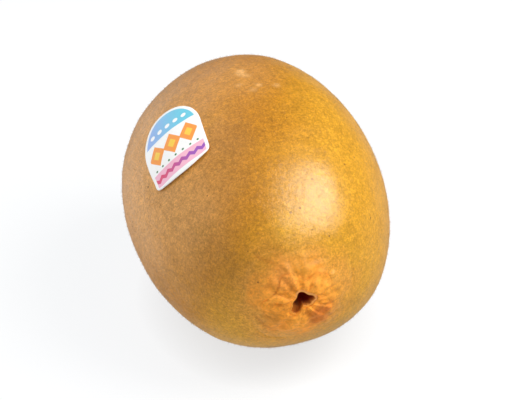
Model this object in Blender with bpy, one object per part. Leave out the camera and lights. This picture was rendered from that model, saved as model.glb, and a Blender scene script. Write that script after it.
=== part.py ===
"""A whole golden kiwi fruit lying on its side.

Metres, +Z up. The long axis runs along Y: the stem end, with its scar and dried calyx, faces -Y,
and the blossom end, with its tuft of dried styles, faces +Y. The origin lies on the resting
surface, under the middle of the fruit. A small plain label sits on the skin.

Angles round the long axis are counted from +X towards +Z. A place along it is given as a share of
half the length, -1 at the stem end and 1 at the blossom end.
"""

import math

import bmesh
import bpy
import numpy as np
from mathutils import Vector

# Size of the smooth body, before its flat spot, and how blunt each end is: 0.5 would be an ellipse
LENGTH = 0.0740
WIDTH = 0.0546
HEIGHT = 0.0534
STEM_BLUNTNESS = 0.46
BLOSSOM_BLUNTNESS = 0.48
FLAT_DEPTH = 0.0003

# Broad swellings round the body: count, size, size added towards the blossom end, phase in degrees
SWELLINGS = (
    (2, 0.0056, 0.0073, 90),
    (3, 0.0154, 0.0165, 116),
    (4, 0.0128, 0.0000, 132),
    (4, 0.0000, 0.0121, 0),
)

# Stem end: the skin rises to a low collar, puckers in radial wrinkles and sinks into the scar
STEM_ZONE = 0.0135
COLLAR_RADIUS = 0.0088
COLLAR_SLOPE = 0.0026
COLLAR_RISE = 0.0006
PUCKERS = (  # radial wrinkles: count, depth, phase in degrees
    (13, 0.00012, 0),
    (8, 0.00010, 75),
    (5, 0.00008, 200),
)
PUCKER_EASE = 0.0015
PUCKER_FADE = (0.0055, 0.0105)
SCAR_DEPTH = 0.0036
SCAR_MOUTH = (  # outline of the scar: angle in degrees, radius
    (10, 0.00255),
    (57, 0.00180),
    (104, 0.00255),
    (142, 0.00165),
    (197, 0.00220),
    (226, 0.00315),
    (240, 0.00320),
    (272, 0.00100),
    (305, 0.00125),
    (345, 0.00175),
)

# Dried calyx: five sepals pressed on the collar, lying in a shallow bed of the skin
CALYX_EDGE = (  # outer edge: notches and sepal tips by turns, angle in degrees, radius
    (8, 0.0057),
    (45, 0.0072),
    (80, 0.0054),
    (117, 0.0074),
    (150, 0.0059),
    (189, 0.0084),
    (229, 0.0057),
    (261, 0.0078),
    (298, 0.0053),
    (333, 0.0069),
)
CALYX_MIDDLE = 0.0067
CALYX_MARGIN = 0.0005
CALYX_THICKNESS = 0.00065
SEPAL_CROWN = 0.0006
BED_DEPTH = 0.0006
BED_SLOPE = 0.0009

# Blossom end: a shallow dimple round the dried styles
DIMPLE_RADIUS = 0.0054
DIMPLE_FLOOR = 0.0018
DIMPLE_DEPTH = 0.0009

# Dried styles: short stubs that stand on a low core and lean outwards
CORE_RADIUS = 0.0017
CORE_TOP_RADIUS = 0.0011
CORE_HEIGHT = 0.0010
CORE_SIDES = 16
STYLE_COUNT = 15
STYLE_LENGTH = (0.0017, 0.0027)
STYLE_TILT = (12, 48)
STYLE_SPREAD = 0.25
STYLE_ROOT_DISTANCE = 0.0006
STYLE_ROOT_HEIGHT = 0.00055
STYLE_ROOT_RADIUS = 0.00045
STYLE_TIP_RADIUS = 0.00020
STYLE_SIDES = 5
STYLE_SEED = 4

# Label: arched at the top, slightly round at the foot, bent to the skin, its foot towards the stem end
LABEL_ANGLE = 133.1
LABEL_SHIFT = -0.0028
LABEL_TILT = 5.0
LABEL_WIDTH = 0.0154
LABEL_HEIGHT = 0.0212
LABEL_ARCH = 0.0098
LABEL_FOOT_BULGE = 0.0013
LABEL_CORNER = 0.0012
LABEL_THICKNESS = 0.0003

# Space kept between two pieces that rest on each other
GAP = 0.0003

# Search for the skin along a line, and a length too small to matter
SEARCH_SCALES = (0.3, 2.0)
SEARCH_STEPS = 30
TINY = 1e-6

# Mesh density
SEGMENTS = 78
DIMPLE_RINGS = 4
BODY_RINGS = 22
SHOULDER_RINGS = 5
COLLAR_RINGS = 5
SCAR_RINGS = 4
CALYX_SEGMENTS = 70
CALYX_STEPS = 4
LABEL_SEGMENTS = 44
LABEL_STEPS = 4
SHADE_ANGLE = 50

HALF_LENGTH = LENGTH / 2
HALF_WIDTH = WIDTH / 2
HALF_HEIGHT = HEIGHT / 2
MEAN_RADIUS = (HALF_WIDTH + HALF_HEIGHT) / 2


def smooth(low, high, value):
    """0 below low, 1 above high, and a smooth rise between them."""
    share = min(1.0, max(0.0, (value - low) / (high - low)))
    return share * share * (3 - 2 * share)


def outline_radius(outline, angle):
    """Radius of a closed outline at this angle, eased between its points."""
    degrees = math.degrees(angle) % 360
    first, last = outline[0], outline[-1]
    stops = [(last[0] - 360, last[1]), *outline, (first[0] + 360, first[1])]
    for (start, low), (end, high) in zip(stops, stops[1:]):
        if degrees <= end:
            turn = math.pi * (degrees - start) / (end - start)
            return low + (high - low) * (1 - math.cos(turn)) / 2


def bluntness(along):
    return BLOSSOM_BLUNTNESS if along > 0 else STEM_BLUNTNESS


def girth_at(along):
    """Share of the full width that the body has at this place along it."""
    return max(0.0, 1 - along**2) ** bluntness(along)


def along_at(side, radius):
    """Place along the body, on the stem side (-1) or the blossom side (1), where it has this radius."""
    return side * math.sqrt(1 - (radius / MEAN_RADIUS) ** (1 / bluntness(side)))


def swelling(along, angle):
    """Local half width of the body as a share of a plain round one's."""
    total = 1.0
    for count, size, lean, phase in SWELLINGS:
        total += (size + lean * along) * math.cos(count * angle + math.radians(phase))
    return total


def stem_relief(radius, angle):
    """How far the skin stands out from the smooth body near the stem, at this distance from the axis."""
    if radius > STEM_ZONE:
        return 0.0
    mouth = outline_radius(SCAR_MOUTH, angle)
    if radius < mouth:
        share = radius / mouth
        return COLLAR_RISE - BED_DEPTH - SCAR_DEPTH * math.sqrt(1 - share**2)
    collar = COLLAR_RISE * (1 - smooth(COLLAR_RADIUS - COLLAR_SLOPE, COLLAR_RADIUS + COLLAR_SLOPE, radius))
    pucker = sum(depth * math.cos(count * angle + math.radians(phase)) for count, depth, phase in PUCKERS)
    pucker *= smooth(mouth, mouth + PUCKER_EASE, radius) * (1 - smooth(*PUCKER_FADE, radius))
    bed_edge = outline_radius(CALYX_EDGE, angle) + GAP
    bed = BED_DEPTH * (1 - smooth(bed_edge, bed_edge + BED_SLOPE, radius))
    return collar + pucker - bed


def dimple_relief(radius):
    """How far the skin stands out at the blossom end, at this distance from the axis."""
    return -DIMPLE_DEPTH * (1 - smooth(DIMPLE_FLOOR, DIMPLE_RADIUS, radius))


def skin_point(along, angle, lift=0.0):
    """A point of the skin; near the ends it may be lifted off the skin, along the long axis."""
    girth = girth_at(along)
    swell = swelling(along, angle)
    radius = MEAN_RADIUS * girth
    if along < 0:
        outward = -stem_relief(radius, angle) - lift
    else:
        outward = dimple_relief(radius) + lift
    return Vector(
        (
            HALF_WIDTH * girth * swell * math.cos(angle),
            HALF_LENGTH * along + outward,
            HALF_HEIGHT * girth * swell * math.sin(angle),
        )
    )


def end_point(side, radius, angle, lift=0.0):
    """A point of the skin at the stem end (-1) or the blossom end (1), by its distance from the axis."""
    return skin_point(along_at(side, radius), angle, lift)


def on_skin(target):
    """Where the line from the fruit's middle through target, well away from both ends, meets the skin."""
    low, high = SEARCH_SCALES
    for _ in range(SEARCH_STEPS):
        scale = (low + high) / 2
        along = scale * target.y / HALF_LENGTH
        angle = math.atan2(target.z / HALF_HEIGHT, target.x / HALF_WIDTH)
        reach = scale * math.hypot(target.x / HALF_WIDTH, target.z / HALF_HEIGHT)
        if reach < girth_at(along) * swelling(along, angle):
            low = scale
        else:
            high = scale
    return target * scale


def add_material(obj, name, colour, roughness):
    """A plain surface with the piece's own colour."""
    material = bpy.data.materials.new(name)
    material.use_nodes = True
    shader = material.node_tree.nodes["Principled BSDF"]
    shader.inputs["Base Color"].default_value = (*colour, 1.0)
    shader.inputs["Roughness"].default_value = roughness
    shader.inputs["Metallic"].default_value = 0.0
    obj.data.materials.append(material)


def finish_mesh(name, mesh_data):
    """Turns a bmesh into a named, smooth-shaded object."""
    bmesh.ops.recalc_face_normals(mesh_data, faces=mesh_data.faces)
    mesh = bpy.data.meshes.new(name)
    mesh_data.to_mesh(mesh)
    mesh_data.free()
    mesh.shade_smooth()
    mesh.set_sharp_from_angle(angle=math.radians(SHADE_ANGLE))
    obj = bpy.data.objects.new(name, mesh)
    bpy.context.scene.collection.objects.link(obj)
    return obj


def turn_angles(count):
    return [2 * math.pi * i / count for i in range(count)]


def join_rings(mesh_data, rings):
    """Skins rings of equal length with quads, each ring closed on itself."""
    for ring, following in zip(rings, rings[1:]):
        count = len(ring)
        for i in range(count):
            j = (i + 1) % count
            mesh_data.faces.new((ring[i], ring[j], following[j], following[i]))


def close_ring(mesh_data, ring, point):
    """Closes a ring with a fan of triangles about one point."""
    tip = mesh_data.verts.new(point)
    for i in range(len(ring)):
        mesh_data.faces.new((ring[i], ring[(i + 1) % len(ring)], tip))


def cut_flat_spot(mesh_data):
    """Cuts the lowest part of the skin off level, so that the fruit rests on a small flat spot."""
    lowest = min(vert.co.z for vert in mesh_data.verts)
    cut = bmesh.ops.bisect_plane(
        mesh_data,
        geom=[*mesh_data.verts, *mesh_data.edges, *mesh_data.faces],
        dist=TINY,
        plane_co=(0, 0, lowest + FLAT_DEPTH),
        plane_no=(0, 0, -1),
        clear_outer=True,
    )
    rim = [item for item in cut["geom_cut"] if isinstance(item, bmesh.types.BMEdge)]
    bmesh.ops.edgeloop_fill(mesh_data, edges=rim)


def make_fruit_body():
    """The fruit itself: rings from the dimple at the blossom end to the floor of the scar."""
    mesh_data = bmesh.new()
    angles = turn_angles(SEGMENTS)
    rings = []

    def add_ring(points):
        rings.append([mesh_data.verts.new(point) for point in points])

    for i in range(1, DIMPLE_RINGS + 1):
        radius = DIMPLE_RADIUS * i / DIMPLE_RINGS
        add_ring(end_point(1, radius, angle) for angle in angles)
    start = math.acos(along_at(1, DIMPLE_RADIUS))
    end = math.acos(along_at(-1, STEM_ZONE))
    for i in range(1, BODY_RINGS + 1):
        along = math.cos(start + (end - start) * i / BODY_RINGS)
        add_ring(skin_point(along, angle) for angle in angles)
    bed_edges = [outline_radius(CALYX_EDGE, angle) + GAP for angle in angles]
    mouths = [outline_radius(SCAR_MOUTH, angle) for angle in angles]
    for i in range(1, SHOULDER_RINGS + 1):
        share = i / SHOULDER_RINGS
        radii = [STEM_ZONE + (edge + BED_SLOPE - STEM_ZONE) * share for edge in bed_edges]
        add_ring(end_point(-1, radius, angle) for radius, angle in zip(radii, angles))
    for i in range(COLLAR_RINGS + 1):
        share = i / COLLAR_RINGS
        radii = [edge + (mouth - edge) * share for edge, mouth in zip(bed_edges, mouths)]
        add_ring(end_point(-1, radius, angle) for radius, angle in zip(radii, angles))
    for i in range(1, SCAR_RINGS):
        share = math.cos(math.pi / 2 * i / SCAR_RINGS)
        add_ring(end_point(-1, mouth * share, angle) for mouth, angle in zip(mouths, angles))
    join_rings(mesh_data, rings)
    close_ring(mesh_data, rings[0], skin_point(1.0, 0.0))
    close_ring(mesh_data, rings[-1], skin_point(-1.0, 0.0))
    cut_flat_spot(mesh_data)
    return finish_mesh("fruit_body", mesh_data)


def make_dried_calyx():
    """Five dried sepals, joined in one ring round the scar and crowned along their middles."""
    mesh_data = bmesh.new()
    under, upper = [], []
    for step in range(CALYX_STEPS + 1):
        share = step / CALYX_STEPS
        low_ring, high_ring = [], []
        for angle in turn_angles(CALYX_SEGMENTS):
            inner = outline_radius(SCAR_MOUTH, angle) + CALYX_MARGIN
            edge = outline_radius(CALYX_EDGE, angle)
            radius = inner + (edge - inner) * share
            crown = SEPAL_CROWN * (edge / CALYX_MIDDLE - 1) * math.sin(math.pi * share)
            top = GAP + CALYX_THICKNESS + crown
            low_ring.append(mesh_data.verts.new(end_point(-1, radius, angle, GAP)))
            high_ring.append(mesh_data.verts.new(end_point(-1, radius, angle, top)))
        under.append(low_ring)
        upper.append(high_ring)
    join_rings(mesh_data, [*upper, *reversed(under), upper[0]])
    return finish_mesh("dried_calyx", mesh_data)


def make_core(seat):
    """The low stump that the dried styles stand on."""
    mesh_data = bmesh.new()
    rings = []
    for height, radius in ((0, CORE_RADIUS), (CORE_HEIGHT / 2, CORE_RADIUS), (CORE_HEIGHT, CORE_TOP_RADIUS)):
        ring = []
        for angle in turn_angles(CORE_SIDES):
            offset = Vector((radius * math.cos(angle), height, radius * math.sin(angle)))
            ring.append(mesh_data.verts.new(seat + offset))
        rings.append(ring)
    join_rings(mesh_data, rings)
    close_ring(mesh_data, rings[0], seat)
    close_ring(mesh_data, rings[-1], seat + Vector((0, CORE_HEIGHT, 0)))
    return finish_mesh("dried_styles", mesh_data)


def make_style(name, length, direction, root):
    """One dried style: a tapering stub, closed at both ends."""
    mesh_data = bmesh.new()
    bmesh.ops.create_cone(
        mesh_data,
        cap_ends=True,
        segments=STYLE_SIDES,
        radius1=STYLE_ROOT_RADIUS,
        radius2=STYLE_TIP_RADIUS,
        depth=length,
    )
    bmesh.ops.translate(mesh_data, verts=mesh_data.verts, vec=(0, 0, length / 2))
    mesh = bpy.data.meshes.new(name)
    mesh_data.to_mesh(mesh)
    mesh_data.free()
    obj = bpy.data.objects.new(name, mesh)
    obj.rotation_mode = "QUATERNION"
    obj.rotation_quaternion = direction.to_track_quat("Z", "Y")
    obj.location = root
    return obj


def join_all(core, collection):
    """Joins the core with every object of the collection in one closed body."""
    union = core.modifiers.new("join", "BOOLEAN")
    union.operation = "UNION"
    union.operand_type = "COLLECTION"
    union.collection = collection
    union.solver = "EXACT"
    union.use_self = True
    graph = bpy.context.evaluated_depsgraph_get()
    joined = bpy.data.meshes.new_from_object(core.evaluated_get(graph))
    core.modifiers.remove(union)
    core.data = joined
    for obj in list(collection.objects):
        bpy.data.objects.remove(obj)
    bpy.data.collections.remove(collection)


def make_dried_styles():
    """A low crown of dried styles on the dimple's floor."""
    draw = np.random.default_rng(STYLE_SEED)
    seat = skin_point(1.0, 0.0, GAP)
    core = make_core(seat)
    crown = bpy.data.collections.new("crown")
    bpy.context.scene.collection.children.link(crown)
    for i in range(STYLE_COUNT):
        angle = 2 * math.pi * (i + draw.uniform(-STYLE_SPREAD, STYLE_SPREAD)) / STYLE_COUNT
        tilt = math.radians(draw.uniform(*STYLE_TILT))
        outward = Vector((math.cos(angle), 0, math.sin(angle)))
        direction = outward * math.cos(tilt) + Vector((0, math.sin(tilt), 0))
        root = seat + outward * STYLE_ROOT_DISTANCE + Vector((0, STYLE_ROOT_HEIGHT, 0))
        crown.objects.link(make_style(f"style_{i}", draw.uniform(*STYLE_LENGTH), direction, root))
    join_all(core, crown)
    return core


def label_edge(angle):
    """A point of the label's edge, seen flat, at this angle round the middle of its arch."""
    side, up = math.cos(angle), math.sin(angle)
    half = LABEL_WIDTH / 2
    shoulder = LABEL_HEIGHT / 2 - LABEL_ARCH
    if up >= 0:
        return half * side, shoulder + LABEL_ARCH * up
    depth = LABEL_HEIGHT - LABEL_ARCH - LABEL_FOOT_BULGE
    reach = min(half / max(abs(side), TINY), depth / -up)
    across, down = abs(reach * side), -reach * up
    over_across, over_down = across - (half - LABEL_CORNER), down - (depth - LABEL_CORNER)
    if over_across > 0 and over_down > 0:
        pull = LABEL_CORNER / max(LABEL_CORNER, math.hypot(over_across, over_down))
        across = half - LABEL_CORNER + over_across * pull
        down = depth - LABEL_CORNER + over_down * pull
    down *= 1 + LABEL_FOOT_BULGE / depth * (1 - (across / half) ** 2)
    return math.copysign(across, side), shoulder - down


def make_fruit_label():
    """The label, bent to the skin all over and standing off it by the gap."""
    mesh_data = bmesh.new()
    middle, tilt = math.radians(LABEL_ANGLE), math.radians(LABEL_TILT)
    round_way = Vector((math.sin(middle), 0, -math.cos(middle)))
    long_way = Vector((0, 1, 0))
    across_way = round_way * math.cos(tilt) - long_way * math.sin(tilt)
    up_way = round_way * math.sin(tilt) + long_way * math.cos(tilt)
    outward = Vector((math.cos(middle), 0, math.sin(middle)))
    centre = on_skin(outward * MEAN_RADIUS) + up_way * LABEL_SHIFT

    def placed(across, up, height):
        foot = on_skin(centre + across_way * across + up_way * up)
        slope = Vector((foot.x / HALF_WIDTH**2, foot.y / HALF_LENGTH**2, foot.z / HALF_HEIGHT**2))
        return foot + slope.normalized() * height

    outline = [label_edge(angle + math.pi / LABEL_SEGMENTS) for angle in turn_angles(LABEL_SEGMENTS)]
    rims = []
    for height in (GAP, GAP + LABEL_THICKNESS):
        rings = []
        for step in range(1, LABEL_STEPS + 1):
            share = step / LABEL_STEPS
            rings.append([mesh_data.verts.new(placed(x * share, y * share, height)) for x, y in outline])
        join_rings(mesh_data, rings)
        close_ring(mesh_data, rings[0], placed(0, 0, height))
        rims.append(rings[-1])
    join_rings(mesh_data, rims)
    return finish_mesh("fruit_label", mesh_data)


def stand_on_origin(objects):
    """Moves every piece so that the flat spot is at z 0 and the whole is centred over the origin."""
    points = [vert.co for obj in objects for vert in obj.data.vertices]
    low = Vector([min(point[i] for point in points) for i in range(3)])
    high = Vector([max(point[i] for point in points) for i in range(3)])
    shift = Vector((-(low.x + high.x) / 2, -(low.y + high.y) / 2, -low.z))
    for obj in objects:
        obj.location = shift


def main():
    for obj in list(bpy.data.objects):
        bpy.data.objects.remove(obj)
    body = make_fruit_body()
    add_material(body, "skin", (0.45, 0.25, 0.07), 0.5)
    calyx = make_dried_calyx()
    add_material(calyx, "calyx", (0.50, 0.24, 0.07), 0.7)
    styles = make_dried_styles()
    add_material(styles, "styles", (0.13, 0.06, 0.03), 0.85)
    label = make_fruit_label()
    add_material(label, "label", (0.85, 0.85, 0.82), 0.35)
    stand_on_origin([body, calyx, styles, label])


main()
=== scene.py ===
"""The looks of a whole golden kiwi fruit.

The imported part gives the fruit's place and size. This script dresses it: a fine skin with its
speckles, streaks and fuzz, papery sepals round the scar, dried styles and a label, on a pale floor
in soft light. Metres, in the part's own frame: the long axis runs along Y, the stem end towards -Y.
Angles round the long axis are counted from +X towards +Z. A place along it is given as a share of
half the length, -1 at the stem end and 1 at the blossom end. The materials measure in millimetres
from the fruit's middle.
"""

import math

import bmesh
import bpy
import numpy as np
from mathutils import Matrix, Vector


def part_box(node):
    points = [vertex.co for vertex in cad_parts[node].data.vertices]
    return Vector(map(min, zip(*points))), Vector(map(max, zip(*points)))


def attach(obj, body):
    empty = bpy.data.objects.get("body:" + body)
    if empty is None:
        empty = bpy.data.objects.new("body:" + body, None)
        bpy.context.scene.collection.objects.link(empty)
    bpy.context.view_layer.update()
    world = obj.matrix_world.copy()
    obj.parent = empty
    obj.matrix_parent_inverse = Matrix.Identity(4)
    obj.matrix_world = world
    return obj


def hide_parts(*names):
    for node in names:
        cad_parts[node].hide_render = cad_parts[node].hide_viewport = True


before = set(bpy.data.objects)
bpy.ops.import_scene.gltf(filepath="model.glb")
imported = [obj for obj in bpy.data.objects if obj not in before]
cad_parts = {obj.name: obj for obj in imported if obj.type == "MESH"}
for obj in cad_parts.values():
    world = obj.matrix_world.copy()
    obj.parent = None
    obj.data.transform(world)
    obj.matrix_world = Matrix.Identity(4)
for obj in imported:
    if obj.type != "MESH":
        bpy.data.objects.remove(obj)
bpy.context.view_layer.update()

MM = 0.001

# Shape of the body, as in the part's own source
LENGTH = 0.0740
WIDTH = 0.0546
HEIGHT = 0.0534
STEM_BLUNTNESS = 0.46
BLOSSOM_BLUNTNESS = 0.48
SWELLINGS = (  # count, size, size added towards the blossom end, phase in degrees
    (2, 0.0056, 0.0073, 90),
    (3, 0.0154, 0.0165, 116),
    (4, 0.0128, 0.0000, 132),
    (4, 0.0000, 0.0121, 0),
)
HALF = np.array((WIDTH / 2, LENGTH / 2, HEIGHT / 2))
MEAN_RADIUS = (WIDTH + HEIGHT) / 4

RELIEF = (  # soft lumps and grain all over: wavelength, height
    (0.0110, 0.00004),
    (0.0045, 0.000014),
    (0.0016, 0.000006),
)
FLAT_EASE = 0.0001

# Stem end
STEM_ZONE = 0.0150
COLLAR_RADIUS = 0.0088
COLLAR_SLOPE = 0.0026
COLLAR_RISE = 0.0005
PUCKERS = (  # radial wrinkles: count, depth, phase in degrees
    (13, 0.00012, 0),
    (8, 0.00010, 75),
    (5, 0.00008, 200),
    (29, 0.00004, 40),
)
PUCKER_EASE = 0.0015
PUCKER_FADE = (0.0055, 0.0105)
LUMP_HEIGHT = 0.00010
LUMP_WAVE = 0.0024
LUMP_SEED = 7
LUMP_FADE = (0.0080, 0.0105)
CREASES = (  # curved wrinkles round the stem: radius, middle angle and half spread in degrees, depth, width
    (0.0122, 140, 46, 0.00022, 0.00040),
    (0.0106, 118, 30, 0.00014, 0.00035),
    (0.0113, 232, 34, 0.00016, 0.00040),
    (0.0118, 20, 28, 0.00012, 0.00040),
)
CREASE_WANDER = 0.0004
FOLDS = (  # short folds of the skin round the scar: x and z of both ends in millimetres, half width, strength
    (-4.7, 7.4, -3.2, 4.9, 0.32, 0.55),
    (-3.2, 4.9, -1.5, 2.7, 0.34, 0.75),
    (-8.9, -4.0, -7.7, -5.7, 0.36, 0.60),
    (-7.7, -5.7, -5.8, -7.3, 0.36, 0.60),
    (-8.6, 9.6, -5.4, 8.4, 0.38, 0.45),
    (-5.4, 8.4, -2.9, 7.0, 0.34, 0.40),
    (-7.4, 3.4, -6.3, 5.2, 0.34, 0.45),
    (-5.0, -0.4, -3.4, 0.6, 0.30, 0.40),
    (1.4, -2.4, 2.0, -4.4, 0.34, 0.45),
    (5.6, 0.3, 3.5, 0.3, 0.26, 0.35),
)
FOLD_DEPTH = 0.00010
# Painted shade: how far the folds are darkened towards their brown
FOLD_SHADE_SHARE = 0.65
SCAR_DEPTH = 0.0036
SCAR_MOUTH = (  # outline of the scar: angle in degrees, radius
    (10, 0.00255),
    (57, 0.00180),
    (104, 0.00255),
    (142, 0.00165),
    (197, 0.00220),
    (226, 0.00315),
    (240, 0.00320),
    (272, 0.00100),
    (305, 0.00125),
    (345, 0.00175),
)
SCAR_EDGE_INSIDE = 0.00018
SCAR_EDGE_OUTSIDE = 0.00012
SCAR_LOBE = 240
SCAR_LOBE_WAY = (math.cos(math.radians(SCAR_LOBE)), 0.0, math.sin(math.radians(SCAR_LOBE)))
SCAR_LOBE_REACH = (0.0002, 0.0024)
SCAR_LOBE_DEPTH = 0.40
LIP_RISE = 0.00008
LIP_WIDTH = 0.0005

# Sepals, within the calyx's edge as in the part's source: angle in degrees, radius, notches and tips by turns
CALYX_EDGE = (
    (8, 0.0057),
    (45, 0.0072),
    (80, 0.0054),
    (117, 0.0074),
    (150, 0.0059),
    (189, 0.0084),
    (229, 0.0057),
    (261, 0.0078),
    (298, 0.0053),
    (333, 0.0069),
)
SEPAL_ROOT = 0.0006
SEPAL_LAP = 7
SEPAL_LAP_TAPER = 0.035
SEPAL_MIDWAY = 0.006
SEPAL_RAGGED = 0.00015
SEPAL_THICKNESS = 0.00010
SEPAL_RIM_SHARE = 0.25
SEPAL_SEAT = 0.00001
SEPAL_OVERLAP = 0.00005
SEPAL_CROWN = 0.00006
SEPAL_WRINKLE = 0.00004
SEPAL_LUMP = 0.00008
SEPAL_EDGE_CURL = 0.00001
SEPAL_TIP_CURL = 0.00003
SEPAL_NOISE = {  # random relief of each kind: wavelength, seed
    "ragged": (0.0022, 20),
    "spokes": (0.0013, 40),
    "flat": (0.0017, 60),
    "lumps": (0.0021, 5),
    "curl": (0.0030, 80),
}
SEPAL_ROWS = 30
SEPAL_COLUMNS = 49

# Blossom end
DIMPLE_RADIUS = 0.0054
DIMPLE_FLOOR = 0.0018
DIMPLE_DEPTH = 0.0009
STUMP = (  # low core of the tuft: height, radius
    (-0.0001, 0.0016),
    (0.0002, 0.0016),
    (0.0005, 0.0012),
    (0.0007, 0.0006),
)
STUMP_SIDES = 20
STYLE_COUNT = 34
STYLE_SEED = 11
STYLE_TURN = 2.399963
STYLE_SPREAD = 0.0012
STYLE_ROOT_HEIGHT = 0.0002
STYLE_LENGTH = (0.0020, 0.0033)
STYLE_RADIUS = (0.00010, 0.00016)
STYLE_POINTS = 6
STYLE_SIDES = 6

# Label: arched at the top, slightly round at the foot
LABEL_ANGLE = 133.1
LABEL_SHIFT = -0.0028
LABEL_TILT = 5.0
LABEL_WIDTH = 0.0154
LABEL_HEIGHT = 0.0212
LABEL_ARCH = 0.0098
LABEL_FOOT_BULGE = 0.0013
LABEL_CORNER = 0.0012
LABEL_SEAT = 0.00005
LABEL_THICKNESS = 0.00010
LABEL_FOOT_LIFT = 0.00045
LABEL_FOOT_START = 0.0060
LABEL_SEGMENTS = 160
LABEL_STEPS = 26
PRINT_EDGE = 0.07
PRINT_MARGIN = 0.8

# Fuzz, and where the skin has none
HAIR_COUNT = 26000
HAIR_LENGTH = (0.00025, 0.00070)
HAIR_RADIUS = 0.000017
HAIR_LEAN = (25, 70)
HAIR_JITTER = 0.00018
HAIR_SINK = 0.00002
HAIR_SEED = 5
BARE_ROUND_LABEL = 0.0004
BARE_FOOT = 0.0012
BARE_STEM = 0.0088
BARE_BLOSSOM = 0.0025

# Mesh density of the skin
SEGMENTS = 512
DIMPLE_RINGS = 18
BODY_RINGS = 220
SHOULDER_RINGS = 66
SHOULDER_CROWDING = 1.2
SCAR_RINGS = 14

# Camera, light and floor
CAMERA_AZIMUTH = -14.6
CAMERA_ELEVATION = 34.2
CAMERA_DISTANCE = 0.75
CAMERA_LENS = 252
LAMP_DISTANCE = 0.60
KEY_WAY = (0.59, -0.26, 0.76)
KEY_SIZE = 0.36
KEY_POWER = 4.5
KEY_COLOUR = (1.0, 0.965, 0.90)
GLINT_WAY = (0.490, -0.348, 0.798)
GLINT_SIZE = 0.50
GLINT_POWER = 10.9
GLINT_COLOUR = (1.0, 0.96, 0.93)
ROOM_COLOUR = (0.97, 0.985, 1.0)
ROOM_STRENGTH = 0.10
BACKDROP_STRENGTH = 1.30
BACKDROP_WAY = (-0.83, 0.48, 0.28)
BACKDROP_SPREAD = (0.05, 0.85)
FLOOR_REACH = 6.0
FLOOR_GLOW = 0.87
FLOOR_SHADE = 0.10
CONTACT_SHADE = 0.20
CONTACT_REACH = 0.009
FLOOR_GLOSS = 0.40
FLOOR_GLOSS_FADE = 0.25

# Colours, as linear red, green and blue
GOLD = (0.60, 0.298, 0.022)
BROWN = (0.45, 0.183, 0.010)
# Rosy tan, made paler and bluer by a painted sheen
ROSY_AND_SHEEN = (0.66, 0.330, 0.095)
OLIVE = (0.40, 0.185, 0.012)
UMBER = (0.30, 0.125, 0.018)
AMBER_AND_HIGHLIGHT = (0.68, 0.365, 0.045)
STEM_GOLD = (0.67, 0.300, 0.038)
STEM_ORANGE = (0.93, 0.335, 0.028)
STEM_BRIGHT = (0.98, 0.400, 0.045)
STEM_BROWN = (0.58, 0.225, 0.025)
STEM_PINK = (0.86, 0.320, 0.055)
# Rust, darkened further as painted shade
STEM_RUST_AND_SHADE = (0.60, 0.155, 0.014)
# Tan, also used as painted shade
STEM_TAN_AND_SHADE = (0.62, 0.265, 0.016)
STEM_DEEP = (0.80, 0.300, 0.045)
# Painted shade in the folds
FOLD_SHADE_BROWN = (0.40, 0.110, 0.008)
FLECK = (0.13, 0.050, 0.012)
PALE_FLECK = (0.75, 0.420, 0.100)
SCUFF_TAN = (0.80, 0.440, 0.150)
SCAR_DARK = (0.260, 0.018, 0.003)
SCAR_BROWN = (0.400, 0.105, 0.002)
SCAR_LIP = (0.86, 0.440, 0.180)
SEPAL_DARK = (0.50, 0.160, 0.018)
SEPAL_RIM = (0.94, 0.400, 0.060)
STYLE_BROWN = (0.110, 0.048, 0.022)
STYLE_TAN = (0.290, 0.140, 0.055)
HAIR_BROWN = (0.300, 0.130, 0.025)
HAIR_GOLD = (0.620, 0.350, 0.090)
LABEL_WHITE = (0.93, 0.93, 0.92)
PRINT_SKY = ((0.26, 0.42, 0.80), (0.10, 0.56, 0.74))
PRINT_ORANGE = (0.92, 0.30, 0.02)
PRINT_YELLOW = (0.92, 0.58, 0.03)
PRINT_PINK = (0.90, 0.46, 0.60)
PRINT_ZIGZAG = ((0.68, 0.030, 0.140), (0.30, 0.060, 0.460))
PRINT_GREEN = (0.03, 0.17, 0.05)

# Which way the skin turns golden, and rosy with a painted pale sheen, and between which shares of the way to
# its surface
GOLD_WAY = (0.84, -0.31, -0.45)
GOLD_SPAN = (-0.47, 0.13)
ROSY_SHEEN_WAY = (-0.89, -0.06, 0.45)
ROSY_SHEEN_SPAN = (0.52, 1.20)

SKIN_PATCHES = (  # patches of colour on the skin, two of them partly painted light: place in millimetres, reach, strength, colour
    (-8.8, -11.5, 23.6, 8.0, 0.45, UMBER),
    (-4.4, -34.3, 9.4, 6.0, 0.25, UMBER),
    # Painted light: the top is made lighter
    (-2.0, 8.0, 26.0, 13.0, 0.25, ROSY_AND_SHEEN),
    (-11.9, -20.1, 19.5, 8.0, 0.22, UMBER),
    (-11.0, -32.0, 7.0, 6.0, 0.22, UMBER),
    # Partly a painted highlight: lighter and yellower below the highlight
    (0.5, -31.5, 13.8, 7.0, 0.50, AMBER_AND_HIGHLIGHT),
)
SPECKS = (  # single dark specks: place in millimetres, radius
    (5.4, -24.2, 20.1, 0.34),
    (1.6, -29.1, 16.9, 0.32),
    (-0.5, -29.5, 16.5, 0.34),
)
SCUFFS = (  # pale scuffs along the top: place in millimetres, reach, strength
    (-0.9, 9.4, 26.1, 1.7, 0.70),
    (-1.2, 8.2, 26.3, 1.6, 0.60),
    (-0.4, 7.2, 26.4, 1.5, 0.50),
    (1.2, 2.4, 26.9, 1.0, 0.65),
    (4.8, 1.7, 26.6, 1.3, 0.50),
    (-0.4, 1.0, 26.8, 1.3, 0.40),
    (-2.6, 4.0, 26.5, 1.2, 0.35),
)
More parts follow.
